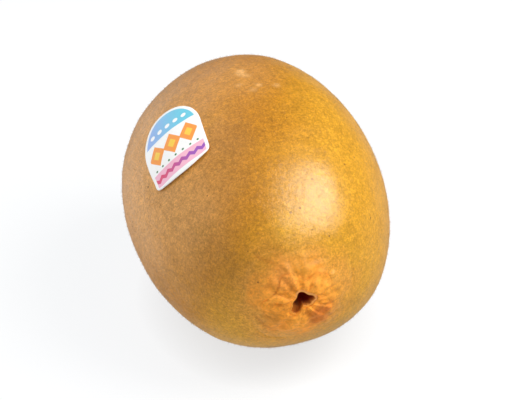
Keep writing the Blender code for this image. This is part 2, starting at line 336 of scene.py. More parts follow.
STEM_PATCHES = (  # patches of colour round the stem, two of them towards +X partly painted shade: x and z in millimetres, reach, strength, colour
    (-4.0, 6.6, 4.2, 0.60, STEM_PINK),
    (0.0, 8.5, 4.5, 0.60, STEM_TAN_AND_SHADE),
    # Painted shade towards +X of the stem end
    (7.5, 2.0, 4.5, 0.60, STEM_TAN_AND_SHADE),
    (-3.5, -9.0, 5.0, 0.50, STEM_DEEP),
    # Rusty patch, partly painted shade
    (4.2, -4.8, 4.6, 0.85, STEM_RUST_AND_SHADE),
    (-7.0, -3.8, 3.6, 0.65, STEM_BROWN),
    (3.8, 3.6, 4.6, 0.60, STEM_BRIGHT),
    (-0.8, -5.6, 3.4, 0.50, STEM_BRIGHT),
    (-6.5, 1.0, 3.0, 0.40, STEM_BRIGHT),
)
SKIN_GRAIN = (  # grain of the skin: size of its blotches in millimetres, contrast
    (2.2, 0.03),
    (1.1, 0.06),
    (0.5, 0.15),
    (0.26, 0.14),
)
TOP_GRAIN = (0.8, 0.08)


def smooth(low, high, value):
    """0 below low, 1 above high, and a smooth rise between them."""
    share = np.clip((value - low) / (high - low), 0.0, 1.0)
    return share * share * (3 - 2 * share)


def outline_radius(outline, angle):
    """Radius of a closed outline at these angles, eased between its points."""
    degrees = np.degrees(angle) % 360
    stops = np.array([(outline[-1][0] - 360, outline[-1][1]), *outline, (outline[0][0] + 360, outline[0][1])])
    i = np.clip(np.searchsorted(stops[:, 0], degrees) - 1, 0, len(stops) - 2)
    share = (degrees - stops[i, 0]) / (stops[i + 1, 0] - stops[i, 0])
    return stops[i, 1] + (stops[i + 1, 1] - stops[i, 1]) * (1 - np.cos(np.pi * share)) / 2


def wave_noise(points, wavelength, seed, count=24):
    """Smooth random relief of about unit height: a sum of waves in random directions."""
    draw = np.random.default_rng(seed)
    ways = draw.normal(size=(3, count))
    ways *= 2 * math.pi / (np.linalg.norm(ways, axis=0) * wavelength * draw.uniform(0.7, 1.4, count))
    return np.cos(points @ ways + draw.uniform(0, 2 * math.pi, count)).sum(axis=-1) * math.sqrt(2 / count)


def girth_at(along):
    """Share of the full width that the body has at this place along it."""
    return np.maximum(0.0, 1 - along**2) ** np.where(along > 0, BLOSSOM_BLUNTNESS, STEM_BLUNTNESS)


def along_at(side, radius):
    """Place along the body, on the stem side (-1) or the blossom side (1), where it has this radius."""
    bluntness = BLOSSOM_BLUNTNESS if side > 0 else STEM_BLUNTNESS
    return side * np.sqrt(1 - (radius / MEAN_RADIUS) ** (1 / bluntness))


def swelling(along, angle):
    """Local half width of the body as a share of a plain round one's."""
    total = 1.0
    for count, size, lean, phase in SWELLINGS:
        total = total + (size + lean * along) * np.cos(count * angle + math.radians(phase))
    return total


def cross_section(radius, angle, along=0.0):
    """Points at this radius and angle round the long axis, and this share of the radius along it."""
    return np.stack((radius * np.cos(angle), along * radius + 0 * angle, radius * np.sin(angle)), axis=-1)


def fold_share(x, z):
    """1 in the middle of a strong fold round the scar, 0 away from the folds."""
    x, z = x / MM, z / MM
    share = 0.0
    for x0, z0, x1, z1, width, strength in FOLDS:
        run, climb = x1 - x0, z1 - z0
        along = np.clip(((x - x0) * run + (z - z0) * climb) / (run**2 + climb**2), 0, 1)
        away = np.hypot(x - x0 - run * along, z - z0 - climb * along)
        share = np.maximum(share, strength * np.exp(-((away / width) ** 2)))
    return share


def stem_relief(radius, angle):
    """How far the skin stands out from the smooth body near the stem."""
    mouth = outline_radius(SCAR_MOUTH, angle)
    collar = COLLAR_RISE * (1 - smooth(COLLAR_RADIUS - COLLAR_SLOPE, COLLAR_RADIUS + COLLAR_SLOPE, radius))
    pucker = sum(depth * np.cos(count * angle + math.radians(phase)) for count, depth, phase in PUCKERS)
    pucker = pucker * smooth(mouth, mouth + PUCKER_EASE, radius) * (1 - smooth(*PUCKER_FADE, radius))
    flat = cross_section(radius, angle, 0.3)
    lump = LUMP_HEIGHT * wave_noise(flat, LUMP_WAVE, LUMP_SEED) * (1 - smooth(*LUMP_FADE, radius))
    pucker = pucker + lump * smooth(mouth, mouth + PUCKER_EASE, radius)
    crease = 0.0
    for ring, middle, spread, depth, width in CREASES:
        gap = abs((np.degrees(angle) - middle + 180) % 360 - 180)
        reach = 1 - smooth(0.4 * spread, spread, gap)
        wander = CREASE_WANDER * np.sin(5 * angle + ring * 1e4)
        crease = crease + depth * reach * np.exp(-(((radius - ring - wander) / width) ** 2))
    crease = crease + FOLD_DEPTH * fold_share(flat[..., 0], flat[..., 2])
    lip = LIP_RISE * np.exp(-(((radius - mouth - 0.6 * LIP_WIDTH) / LIP_WIDTH) ** 2))
    lobe = smooth(*SCAR_LOBE_REACH, radius * np.cos(angle - math.radians(SCAR_LOBE)))
    depth = SCAR_DEPTH * (1 - (1 - SCAR_LOBE_DEPTH) * lobe)
    scar = depth * np.sqrt(np.clip(1 - (radius / mouth) ** 2, 0, 1))
    return np.where(radius < STEM_ZONE, collar + pucker - crease + lip - scar, 0.0)


def dimple_relief(radius):
    """How far the skin stands out at the blossom end."""
    return -DIMPLE_DEPTH * (1 - smooth(DIMPLE_FLOOR, DIMPLE_RADIUS, radius))


def skin_points(along, angle, lift=0.0):
    """Points of the skin; near the ends they may be lifted off it, along the long axis."""
    girth = girth_at(along)
    swell = swelling(along, angle)
    radius = MEAN_RADIUS * girth
    outward = np.where(along < 0, -stem_relief(radius, angle) - lift, dimple_relief(radius) + lift)
    x = HALF[0] * girth * swell * np.cos(angle)
    z = HALF[2] * girth * swell * np.sin(angle)
    return np.stack((x, HALF[1] * along + outward, z), axis=-1)


def end_points(side, radius, angle, lift=0.0):
    """Points of the skin at the stem end (-1) or the blossom end (1), by their distance from the axis."""
    return skin_points(along_at(side, radius), angle, lift)


def tip_point(side):
    """The skin's point on the long axis, at the stem end (-1) or the blossom end (1)."""
    return skin_points(np.array(float(side)), np.array(0.0))


def smooth_normals(points):
    """Outward directions of the smooth body at these points."""
    ways = points / HALF**2
    return ways / np.linalg.norm(ways, axis=-1, keepdims=True)


def relief_at(points):
    """Height of the soft lumps and grain of the skin at these points."""
    return sum(height * wave_noise(points, size, i + 1) for i, (size, height) in enumerate(RELIEF))


def on_skin(targets):
    """Where the lines from the fruit's middle through the targets meet the skin, away from both ends."""
    low, high = np.full(targets.shape[:-1], 0.3), np.full(targets.shape[:-1], 2.0)
    angle = np.arctan2(targets[..., 2] / HALF[2], targets[..., 0] / HALF[0])
    reach = np.hypot(targets[..., 0] / HALF[0], targets[..., 2] / HALF[2])
    for _ in range(40):
        scale = (low + high) / 2
        along = scale * targets[..., 1] / HALF[1]
        inside = scale * reach < girth_at(along) * swelling(along, angle)
        low, high = np.where(inside, scale, low), np.where(inside, high, scale)
    return targets * low[..., None]


def place_of_middle():
    """The frame's point at which the smooth body has its middle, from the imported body's box."""
    along, angle = np.meshgrid(np.cos(np.linspace(0, math.pi, 200)), np.linspace(0, 2 * math.pi, 200))
    points = skin_points(along, angle).reshape(-1, 3)
    least, most = points.min(axis=0), points.max(axis=0)
    low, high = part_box("fruit_body")
    return np.array(((low.x + high.x - least[0] - most[0]) / 2, high.y - most[1], high.z - most[2]))


MIDDLE = place_of_middle()


class Painter:
    """Adds nodes to a material or world. An input may be a number, colour, vector or node's output."""

    def __init__(self, owner):
        owner.use_nodes = True
        self.owner = owner
        self.nodes = owner.node_tree.nodes
        self.links = owner.node_tree.links

    def feed(self, socket, value):
        if isinstance(value, bpy.types.NodeSocket):
            self.links.new(value, socket)
        elif socket.type == "RGBA":
            socket.default_value = (*value, 1.0)
        else:
            socket.default_value = value

    def node(self, kind, inputs, **settings):
        made = self.nodes.new("ShaderNode" + kind)
        for name, value in settings.items():
            setattr(made, name, value)
        for key, value in inputs.items():
            self.feed(made.inputs[key], value)
        return made

    def math(self, operation, *values):
        return self.node("Math", dict(enumerate(values)), operation=operation).outputs[0]

    def plus(self, first, second):
        return self.math("ADD", first, second)

    def minus(self, first, second):
        return self.math("SUBTRACT", first, second)

    def times(self, first, second):
        return self.math("MULTIPLY", first, second)

    def length(self, first, second):
        """Length of a step of these two parts, at right angles."""
        return self.math("SQRT", self.plus(self.times(first, first), self.times(second, second)))

    def vector(self, operation, *values, output="Vector"):
        return self.node("VectorMath", dict(enumerate(values)), operation=operation).outputs[output]

    def dot(self, first, second):
        return self.vector("DOT_PRODUCT", first, second, output="Value")

    def distance(self, first, second):
        return self.vector("DISTANCE", first, second, output="Value")

    def parts(self, vector):
        return self.node("SeparateXYZ", {0: vector}).outputs

    def place(self):
        """The point's place in millimetres from the fruit's middle."""
        seen = self.node("TexCoord", {}).outputs["Object"]
        return self.vector("MULTIPLY", self.vector("SUBTRACT", seen, tuple(MIDDLE)), (1 / MM, 1 / MM, 1 / MM))

    def attribute(self, name):
        return self.node("Attribute", {}, attribute_name=name).outputs["Fac"]

    def rise(self, value, low, high, to=1.0, start=0.0):
        """start below low, to above high, and a smooth rise between them; low may be above high."""
        inputs = {0: value, 1: low, 2: high, 3: start, 4: to}
        return self.node("MapRange", inputs, interpolation_type="SMOOTHSTEP").outputs[0]

    def noise(self, place, size, detail=2.0, rough=0.5):
        """Soft random pattern from 0 to 1, with blotches of about this size in millimetres."""
        inputs = {"Vector": place, "Scale": 1 / size, "Detail": detail, "Roughness": rough}
        return self.node("TexNoise", inputs).outputs["Fac"]

    def swing(self, pattern, size):
        """A pattern of 0 to 1 made to swing round 0, over this size."""
        return self.times(self.minus(pattern, 0.5), size)

    def cells(self, place, size):
        """Scattered points: the distance to the nearest one, as a share of size, and a random colour each."""
        made = self.node("TexVoronoi", {"Vector": place, "Scale": 1 / size})
        return made.outputs["Distance"], made.outputs["Color"]

    def mix(self, share, first, second, blend="MIX"):
        made = self.node("Mix", {0: share, 6: first, 7: second}, data_type="RGBA", blend_type=blend)
        return made.outputs[2]

    def patch(self, colour, tint, strength, away, reach, core):
        """Tints the colour where away is less than reach, in full within the core's share of reach."""
        return self.mix(self.rise(away, reach, core * reach, strength), colour, tint)

    def shade(self, colour, value, low, high):
        """Darkens or lightens a colour: times low where value is 0, times high where it is 1."""
        factor = self.node("MapRange", {0: value, 1: 0.0, 2: 1.0, 3: low, 4: high}).outputs[0]
        grey = self.node("CombineXYZ", {0: factor, 1: factor, 2: factor}).outputs[0]
        return self.mix(1.0, colour, grey, "MULTIPLY")

    def grain(self, colour, place, size, contrast):
        """Mottles a colour with blotches of about this size, by plus or minus the contrast."""
        spread = self.rise(self.noise(place, size, 2, 0.55), 0.30, 0.70)
        return self.shade(colour, spread, 1 - contrast, 1 + contrast)

    def bump(self, height, depth, after=None):
        """Bump from a height of 0 to 1, depth metres deep, on top of an earlier one."""
        inputs = {"Height": height, "Strength": 1.0, "Distance": depth}
        if after is not None:
            inputs["Normal"] = after
        return self.node("Bump", inputs).outputs[0]

    def finish(self, colour, roughness, normal=None, **others):
        """Feeds the material's shader and returns the material."""
        inputs = self.nodes["Principled BSDF"].inputs
        self.feed(inputs["Base Color"], colour)
        self.feed(inputs["Roughness"], roughness)
        if normal is not None:
            self.feed(inputs["Normal"], normal)
        for name, value in others.items():
            self.feed(inputs[name.replace("_", " ")], value)
        return self.owner


def new_paint(name):
    """A painter for a new material."""
    return Painter(bpy.data.materials.new(name))


def stem_colour(paint, place, x, z):
    """Soft mottled orange of the stem end, alike on the skin and the sepals, with painted shade towards +X.
    """
    colour = paint.mix(paint.rise(paint.noise(place, 1.7, 2, 0.6), 0.42, 0.72, 0.40), STEM_ORANGE, STEM_BROWN)
    flat = paint.node("CombineXYZ", {0: x, 2: z}).outputs[0]
    sway = paint.swing(paint.noise(place, 2.2, 2), 5.0)
    for at_x, at_z, reach, strength, tint in STEM_PATCHES:
        away = paint.plus(paint.distance(flat, (at_x, 0.0, at_z)), sway)
        colour = paint.patch(colour, tint, strength, away, reach, 0.3)
    return colour


def ground_colour(paint, place, ring, stem_side, fine):
    """The skin's main colours: golden on one side, browner on the other, rosy with a painted pale sheen
    towards -X, with patches and scuffs.
    """
    roam = paint.swing(paint.noise(place, 13, 3, 0.55), 0.4)
    unit = paint.vector("MULTIPLY", place, (1 / 27, 1 / 37, 1 / 27))
    toward_gold = paint.plus(paint.dot(unit, GOLD_WAY), roam)
    toward_rose_sheen = paint.plus(paint.dot(unit, ROSY_SHEEN_WAY), roam)
    colour = paint.mix(paint.rise(toward_gold, *GOLD_SPAN), BROWN, GOLD)
    # Painted sheen: the rosy side is made paler and bluer
    colour = paint.mix(paint.rise(toward_rose_sheen, *ROSY_SHEEN_SPAN), colour, ROSY_AND_SHEEN)
    colour = paint.mix(paint.times(paint.rise(ring, 16.5, 10.5), stem_side), colour, STEM_GOLD)
    colour = paint.mix(paint.rise(paint.noise(place, 8, 3), 0.50, 0.70, 0.22), colour, OLIVE)
    sway = paint.times(roam, 10)
    for *at, reach, strength, tint in SKIN_PATCHES:
        away = paint.plus(paint.distance(place, at), sway)
        colour = paint.patch(colour, tint, strength, away, reach, 0.3)
    ragged = paint.swing(fine, 2.6)
    for *at, reach, strength in SCUFFS:
        away = paint.plus(paint.distance(place, at), ragged)
        colour = paint.patch(colour, SCUFF_TAN, strength, away, reach, 0.1)
    return colour


def scattered(paint, place, spacing, size, edge, chance):
    """Spots of random size, up to this share of their spacing; the chance says which of them show."""
    distance, pick = paint.cells(place, spacing)
    draw = paint.parts(pick)
    spot = paint.rise(paint.minus(distance, paint.times(draw[0], size)), edge, -edge)
    return paint.times(spot, paint.rise(draw[1], *chance))


def fleck_colour(paint, place, colour, flecks):
    """The skin's colour with its flecks, dark spots, single specks and pale dots."""
    colour = paint.mix(paint.times(flecks, 0.45), colour, STEM_BROWN)
    moved = paint.vector("ADD", place, (1.7, 2.9, 0.6))
    spots = scattered(paint, moved, spacing=3.2, size=0.09, edge=0.02, chance=(0.45, 0.55))
    colour = paint.mix(paint.times(spots, 0.8), colour, FLECK)
    for *at, size in SPECKS:
        speck = paint.rise(paint.distance(place, at), 1.2 * size, 0.5 * size, 0.55)
        colour = paint.mix(speck, colour, FLECK)
    distance, pick = paint.cells(paint.vector("ADD", place, (3.1, 5.7, 1.3)), 1.9)
    pale = paint.times(paint.rise(distance, 0.15, 0.05), paint.rise(paint.parts(pick)[0], 0.55, 0.65))
    return paint.mix(paint.times(pale, 0.25), colour, PALE_FLECK)


def scar_colour(paint, place, colour, deep):
    """The skin's colour with the scar: dark inside, browner in its lobe, pale on a part of its lip."""
    lobe = paint.dot(place, SCAR_LOBE_WAY)
    pale = paint.times(paint.times(paint.attribute("lip"), paint.rise(lobe, 0.5, -1.5)), 0.5)
    colour = paint.mix(pale, colour, SCAR_LIP)
    return paint.mix(deep, colour, paint.mix(paint.rise(lobe, 0.3, 2.0), SCAR_DARK, SCAR_BROWN))


def skin_material():
    """Bronze-gold skin, mottled and flecked, orange at the stem and dark in the scar; some painted sheen,
    light and shade.
    """
    paint = new_paint("kiwi_skin")
    place = paint.place()
    x, y, z = paint.parts(place)
    mottle = paint.noise(place, 4.5, 3, 0.6)
    fine = paint.noise(place, 0.5, 3, 0.6)
    streak = paint.noise(paint.vector("MULTIPLY", place, (1, 0.16, 1)), 1.1, 3, 0.6)
    flecks = scattered(paint, place, spacing=0.85, size=0.20, edge=0.05, chance=(0.10, 0.90))
    deep = paint.attribute("scar")

    stem_side = paint.rise(y, -10, -24)
    ring = paint.plus(paint.length(x, z), paint.swing(mottle, 7))
    ring = paint.plus(ring, paint.times(paint.rise(x, 1, 7), 2.0))
    at_stem = paint.times(paint.rise(ring, 11.5, 7.5), stem_side)
    colour = ground_colour(paint, place, ring, stem_side, fine)
    colour = paint.shade(colour, mottle, 0.91, 1.09)
    colour = paint.shade(colour, streak, 0.87, 1.13)
    for size, contrast in SKIN_GRAIN:
        colour = paint.grain(colour, place, size, contrast)
    colour = paint.mix(paint.rise(z, 6, 22), colour, paint.grain(colour, place, *TOP_GRAIN))
    orange = paint.grain(paint.grain(stem_colour(paint, place, x, z), place, 1.1, 0.08), place, 0.5, 0.10)
    colour = paint.mix(paint.times(at_stem, 0.95), colour, orange)
    colour = fleck_colour(paint, place, colour, flecks)
    # Painted shade in the folds round the scar
    colour = paint.mix(paint.times(paint.attribute("fold"), FOLD_SHADE_SHARE), colour, FOLD_SHADE_BROWN)
    colour = scar_colour(paint, place, colour, deep)

    roughness = paint.plus(paint.plus(0.28, paint.times(fine, 0.08)), paint.times(at_stem, 0.35))
    roughness = paint.math("MAXIMUM", roughness, deep)
    bump = paint.bump(paint.noise(place, 0.35, 3, 0.65), 0.00005)
    bump = paint.bump(streak, 0.00004, bump)
    bump = paint.bump(flecks, 0.00003, bump)
    return paint.finish(colour, roughness, bump, IOR=1.5, Specular_IOR_Level=0.25)


def fuzz_material():
    """Short fine hairs, from brown to gold."""
    paint = new_paint("kiwi_fuzz")
    place = paint.place()
    colour = paint.mix(paint.noise(place, 2.5, 2), HAIR_BROWN, HAIR_GOLD)
    colour = paint.shade(colour, paint.noise(place, 0.4, 1), 0.7, 1.3)
    return paint.finish(colour, paint.plus(0.45, paint.times(paint.noise(place, 1.0, 1), 0.2)))


def sepal_material():
    """Dry papery sepals: orange-tan with rust and painted shade in patches and folds, radial veins, paler
    rims.
    """
    paint = new_paint("dry_sepal")
    place = paint.place()
    x, y, z = paint.parts(place)
    turn = paint.times(paint.math("ARCTAN2", z, x), 14)
    vein_place = paint.node("CombineXYZ", {0: turn, 1: paint.times(paint.length(x, z), 0.5)}).outputs[0]
    veins = paint.noise(vein_place, 1.0, 3, 0.65)
    colour = stem_colour(paint, place, x, z)
    colour = paint.mix(paint.rise(veins, 0.54, 0.78, 0.35), colour, SEPAL_DARK)
    colour = paint.mix(paint.times(paint.attribute("rim"), 0.12), colour, SEPAL_RIM)
    # Painted shade in the folds
    colour = paint.mix(paint.times(paint.attribute("fold"), FOLD_SHADE_SHARE), colour, FOLD_SHADE_BROWN)
    colour = paint.grain(colour, place, 1.1, 0.10)
    colour = paint.grain(colour, place, 0.5, 0.12)
    roughness = paint.plus(0.60, paint.times(veins, 0.2))
    bump = paint.bump(veins, 0.00010)
    bump = paint.bump(paint.noise(place, 0.4, 3, 0.6), 0.00008, bump)
    return paint.finish(colour, roughness, bump, IOR=1.45, Specular_IOR_Level=0.25)


def style_material():
    """Withered styles, nearly black at the root and tan at some tips."""
    paint = new_paint("dry_style")
    place = paint.place()
    colour = paint.mix(paint.rise(paint.noise(place, 0.9, 2), 0.45, 0.75), STYLE_BROWN, STYLE_TAN)
    colour = paint.shade(colour, paint.noise(place, 0.25, 2), 0.6, 1.4)
    roughness = paint.plus(0.6, paint.times(paint.noise(place, 0.5, 1), 0.3))
    return paint.finish(colour, roughness, paint.bump(paint.noise(place, 0.2, 2), 0.00006))


def label_axes():
    """The label's own directions and middle: across, up, out and the middle point from the fruit's middle."""
    middle, tilt = math.radians(LABEL_ANGLE), math.radians(LABEL_TILT)
    round_way = np.array((math.sin(middle), 0, -math.cos(middle)))
    long_way = np.array((0, 1, 0))
    across = round_way * math.cos(tilt) - long_way * math.sin(tilt)
    up = round_way * math.sin(tilt) + long_way * math.cos(tilt)
    out = np.array((math.cos(middle), 0, math.sin(middle)))
    return across, up, out, on_skin(out * MEAN_RADIUS) + up * LABEL_SHIFT


def print_area(paint, across, up):
    """Above 0 inside the label's printed area, which leaves a white margin."""
    half, arch = LABEL_WIDTH / 2 / MM, LABEL_ARCH / MM
    tall, bulge = LABEL_HEIGHT / 2 / MM, LABEL_FOOT_BULGE / MM
    over = paint.math("MAXIMUM", paint.minus(up, tall - arch), 0.0)
    over = paint.times(over, (half - PRINT_MARGIN) / (arch - PRINT_MARGIN))
    round_top = paint.minus(half - PRINT_MARGIN, paint.length(across, over))
    share = paint.times(across, 1 / half)
    sag = paint.times(paint.times(share, share), bulge)
    foot_line = paint.minus(paint.plus(up, tall - PRINT_MARGIN), sag)
    return paint.math("MINIMUM", round_top, foot_line)


def label_material():
    """White paper with a plain print: a dotted blue arch, lozenges, dots and a zigzag on a pink foot."""
    paint = new_paint("label_paper")
    place = paint.place()
    across_way, up_way, out, centre = label_axes()
    scale = paint.math("DIVIDE", float(centre @ out) / MM, paint.dot(place, tuple(out)))
    across = paint.times(scale, paint.dot(place, tuple(across_way)))
    up = paint.times(scale, paint.dot(place, tuple(up_way)))
    up = paint.minus(up, LABEL_SHIFT / MM)

    def band(value, low, high):
        """Above 0 between low and high."""
        return paint.math("MINIMUM", paint.minus(value, low), paint.minus(high, value))

    def from_column(spacing):
        """Distance across from the nearest of a row of columns, one of which is in the middle."""
        turn = paint.math("MODULO", paint.plus(across, 50.5 * spacing), spacing)
        return paint.math("ABSOLUTE", paint.minus(turn, spacing / 2))

    def row(shape, limit):
        """A row of shapes that ends this far from the label's middle line."""
        return paint.math("MINIMUM", shape, paint.minus(limit, paint.math("ABSOLUTE", across)))

    def dots(middle_up, spacing, size, limit):
        away = paint.length(from_column(spacing), paint.minus(up, middle_up))
        return row(paint.minus(size, away), limit)

    def lozenges(middle_up, spacing, size, steep, limit):
        rise = paint.times(paint.math("ABSOLUTE", paint.minus(up, middle_up)), steep)
        return row(paint.minus(size, paint.plus(from_column(spacing), rise)), limit)

    wave = paint.times(paint.math("PINGPONG", paint.plus(across, 50.0), 1.0), 0.8)
    layers = (
        (band(up, 3.4, 12.0), paint.mix(paint.rise(across, -6, 5), *PRINT_SKY)),
        (dots(5.4, 2.1, 0.62, 5.2), LABEL_WHITE),
        (lozenges(-0.6, 4.3, 2.35, 0.75, 6.45), PRINT_ORANGE),
        (lozenges(-0.6, 4.3, 1.05, 0.75, 6.45), PRINT_YELLOW),
        (band(up, -9.1, -5.1), PRINT_PINK),
        (band(paint.minus(up, wave), -8.1, -6.9), paint.mix(paint.rise(across, -5, 5), *PRINT_ZIGZAG)),
        (dots(-4.4, 1.9, 0.28, 6.0), PRINT_GREEN),
    )
    inside = print_area(paint, across, up)
    colour = LABEL_WHITE
    for shape, ink in layers:
        share = paint.rise(paint.math("MINIMUM", shape, inside), -PRINT_EDGE, PRINT_EDGE)
        colour = paint.mix(share, colour, ink)
    colour = paint.shade(colour, paint.noise(place, 0.5, 2), 0.97, 1.03)
    roughness = paint.plus(0.26, paint.times(paint.noise(place, 2.0, 2), 0.12))
    return paint.finish(colour, roughness, paint.bump(paint.noise(place, 1.6, 2), 0.00003))


def add_object(name, data):
    """A new object in the scene."""
    made = bpy.data.objects.new(name, data)
    bpy.context.scene.collection.objects.link(made)
    return made


def stand_off(thing, way, distance):
    """Puts a lamp or the camera this far from the fruit in this direction, facing it."""
    thing.location = Vector(MIDDLE) + way * distance
    thing.rotation_mode = "QUATERNION"
    thing.rotation_quaternion = way.to_track_quat("Z", "Y")


def add_piece(name, points, faces, material, replaced=None):
    """A smooth-shaded mesh that rides on the body, from points counted from the fruit's middle."""
    mesh = bpy.data.meshes.new(name)
    placed = np.asarray(points) + MIDDLE
    placed[:, 2] = np.maximum(placed[:, 2], 0.0)
    mesh.from_pydata(placed.tolist(), [], faces)
    mesh.shade_smooth()
    mesh.materials.append(material)
    piece = add_object(name, mesh)
    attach(piece, "root")
    if replaced:
        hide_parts(replaced)
    return piece


def add_attribute(piece, name, values):
    """A number at each point of the piece, which its material reads."""
    piece.data.attributes.new(name, "FLOAT", "POINT").data.foreach_set("value", values.astype(np.float32))


def turn_outward(piece):
    """Makes the faces of a closed mesh point out."""
    mesh_data = bmesh.new()
    mesh_data.from_mesh(piece.data)
    bmesh.ops.recalc_face_normals(mesh_data, faces=mesh_data.faces)
    mesh_data.to_mesh(piece.data)
    mesh_data.free()


def body_faces(rings, segments, start=0):
    """Quads between the rings of a closed body and triangles to its two tips, numbered after the rings."""
    ring, i = np.meshgrid(np.arange(rings - 1), np.arange(segments), indexing="ij")
    j = (i + 1) % segments
    at = start + ring * segments
    faces = np.stack((at + i, at + segments + i, at + segments + j, at + j), axis=-1).reshape(-1, 4).tolist()
    tips = start + rings * segments
    last = tips - segments
    for i in range(segments):
        j = (i + 1) % segments
        faces += [(start + i, start + j, tips), (last + j, last + i, tips + 1)]
    return faces


def skin_grid():
    """Place along the body of each ring's points, from the dimple to the scar's floor, and the angles."""
    angle = np.arange(SEGMENTS) * 2 * math.pi / SEGMENTS
    ones = np.ones(SEGMENTS)
    mouth = outline_radius(SCAR_MOUTH, angle)
    rows = [along_at(1, DIMPLE_RADIUS * i / DIMPLE_RINGS) * ones for i in range(1, DIMPLE_RINGS + 1)]
    start, end = math.acos(along_at(1, DIMPLE_RADIUS)), math.acos(along_at(-1, STEM_ZONE))
    rows += [math.cos(start + (end - start) * i / BODY_RINGS) * ones for i in range(1, BODY_RINGS + 1)]
    for i in range(1, SHOULDER_RINGS + 1):
        share = (1 - i / SHOULDER_RINGS) ** SHOULDER_CROWDING
        rows.append(along_at(-1, mouth + (STEM_ZONE - mouth) * share))
    rows += [along_at(-1, mouth * math.cos(math.pi / 2 * i / SCAR_RINGS)) for i in range(1, SCAR_RINGS)]
    return np.array(rows), angle


def make_skin():
    """The skin: rings of points on the body's shape, with soft lumps and a fine grain. Gives its points."""
    along, angle = skin_grid()
    points = skin_points(along, np.broadcast_to(angle, along.shape))
    points = points + smooth_normals(points) * relief_at(points)[..., None]
    height = points[..., 2] + MIDDLE[2]
    points[..., 2] = (height + np.hypot(height, FLAT_EASE)) / 2 - MIDDLE[2]
    every = np.concatenate([points.reshape(-1, 3), [tip_point(1), tip_point(-1)]])
    faces = body_faces(len(along), SEGMENTS)
    skin = add_piece("fruit_skin", every, faces, skin_material(), "fruit_body")
    past_mouth = MEAN_RADIUS * girth_at(along) - outline_radius(SCAR_MOUTH, angle)
    shares = {  # 1 inside the scar, on its lip or in a fold, 0 away from them
        "scar": 1 - smooth(-SCAR_EDGE_INSIDE, SCAR_EDGE_OUTSIDE, past_mouth),
        "lip": np.exp(-((past_mouth / LIP_WIDTH - 1) ** 2)),
        "fold": fold_share(points[..., 0], points[..., 2]),
    }
    for name, share in shares.items():
        add_attribute(skin, name, np.append(np.where(along < 0, share, 0.0).ravel(), (0.0, name == "scar")))
    return points


def is_bare(points):
    """Whether the skin has no hairs here: by the label, the sepals, the tuft and the resting spot."""
    across_way, up_way, out, centre = label_axes()
    scale = (centre @ out) / np.maximum(points @ out, 1e-6)
    across = scale * (points @ across_way)
    up = scale * (points @ up_way) - LABEL_SHIFT
    covered = (points @ out > 0) & (abs(across) < LABEL_WIDTH / 2 + BARE_ROUND_LABEL)
    covered &= abs(up) < LABEL_HEIGHT / 2 + BARE_ROUND_LABEL
    at_foot = points[:, 2] + MIDDLE[2] < BARE_FOOT
    at_end = np.hypot(points[:, 0], points[:, 2]) < np.where(points[:, 1] < 0, BARE_STEM, BARE_BLOSSOM)
    return covered | at_foot | at_end


def make_fuzz(points):
    """Short hairs on the skin, whose grid of points is given."""
    draw = np.random.default_rng(HAIR_SEED)
    ahead = np.roll(points, -1, axis=1)
    centres = ((points[:-1] + points[1:] + ahead[:-1] + ahead[1:]) / 4).reshape(-1, 3)
    normals = np.cross(ahead[:-1] - points[1:], ahead[1:] - points[:-1]).reshape(-1, 3)
    area = np.linalg.norm(normals, axis=1)
    normals /= area[:, None]
    weight = np.where(is_bare(centres), 0.0, area)
    chosen = draw.choice(len(centres), HAIR_COUNT, p=weight / weight.sum())
    normal = normals[chosen]
    sideways = np.cross(normal, draw.normal(size=(HAIR_COUNT, 3)))
    sideways /= np.linalg.norm(sideways, axis=1, keepdims=True)
    other = np.cross(normal, sideways)
    jitter = draw.uniform(-HAIR_JITTER, HAIR_JITTER, (HAIR_COUNT, 2))
    roots = centres[chosen] + sideways * jitter[:, :1] + other * jitter[:, 1:] - normal * HAIR_SINK
    lean = np.radians(draw.uniform(*HAIR_LEAN, HAIR_COUNT))[:, None]
    length = draw.uniform(*HAIR_LENGTH, HAIR_COUNT)[:, None]
    tips = roots + (normal * np.cos(lean) + sideways * np.sin(lean)) * length
    ring = []
    for turn in (0, 2 * math.pi / 3, 4 * math.pi / 3):
        ring.append(roots + HAIR_RADIUS * (sideways * math.cos(turn) + other * math.sin(turn)))
    every = np.stack([*ring, tips], axis=1).reshape(-1, 3)
    first = np.arange(HAIR_COUNT)[:, None] * 4
    faces = np.concatenate([first + order for order in ((0, 1, 3), (1, 2, 3), (2, 0, 3), (2, 1, 0))])
    add_piece("skin_fuzz", every, faces.tolist(), fuzz_material())


def closed_sheet(upper, lower, start):
    """Points and faces of a thin closed body between two grids of points, numbered from start."""
    rows, cols = upper.shape[:2]
    count = rows * cols
    at = np.arange(count).reshape(rows, cols) + start
    top = np.stack((at[:-1, :-1], at[:-1, 1:], at[1:, 1:], at[1:, :-1]), axis=-1).reshape(-1, 4)
    bottom = np.roll(top[:, ::-1], 1, axis=1) + count
    edge = [*at[0, :-1], *at[:-1, -1], *at[-1, :0:-1], *at[:0:-1, 0]]
    sides = [tuple(map(int, (a, a + count, b + count, b))) for a, b in zip(edge, edge[1:] + edge[:1])]
    points = np.concatenate([upper.reshape(-1, 3), lower.reshape(-1, 3)])
    return points, [*top.tolist(), *bottom.tolist(), *sides]


def sepal_noise(kind, points, number=0):
    """Random relief of the sepals, of a kind that is named in the table."""
    wavelength, seed = SEPAL_NOISE[kind]
    return wave_noise(points, wavelength, seed + number)


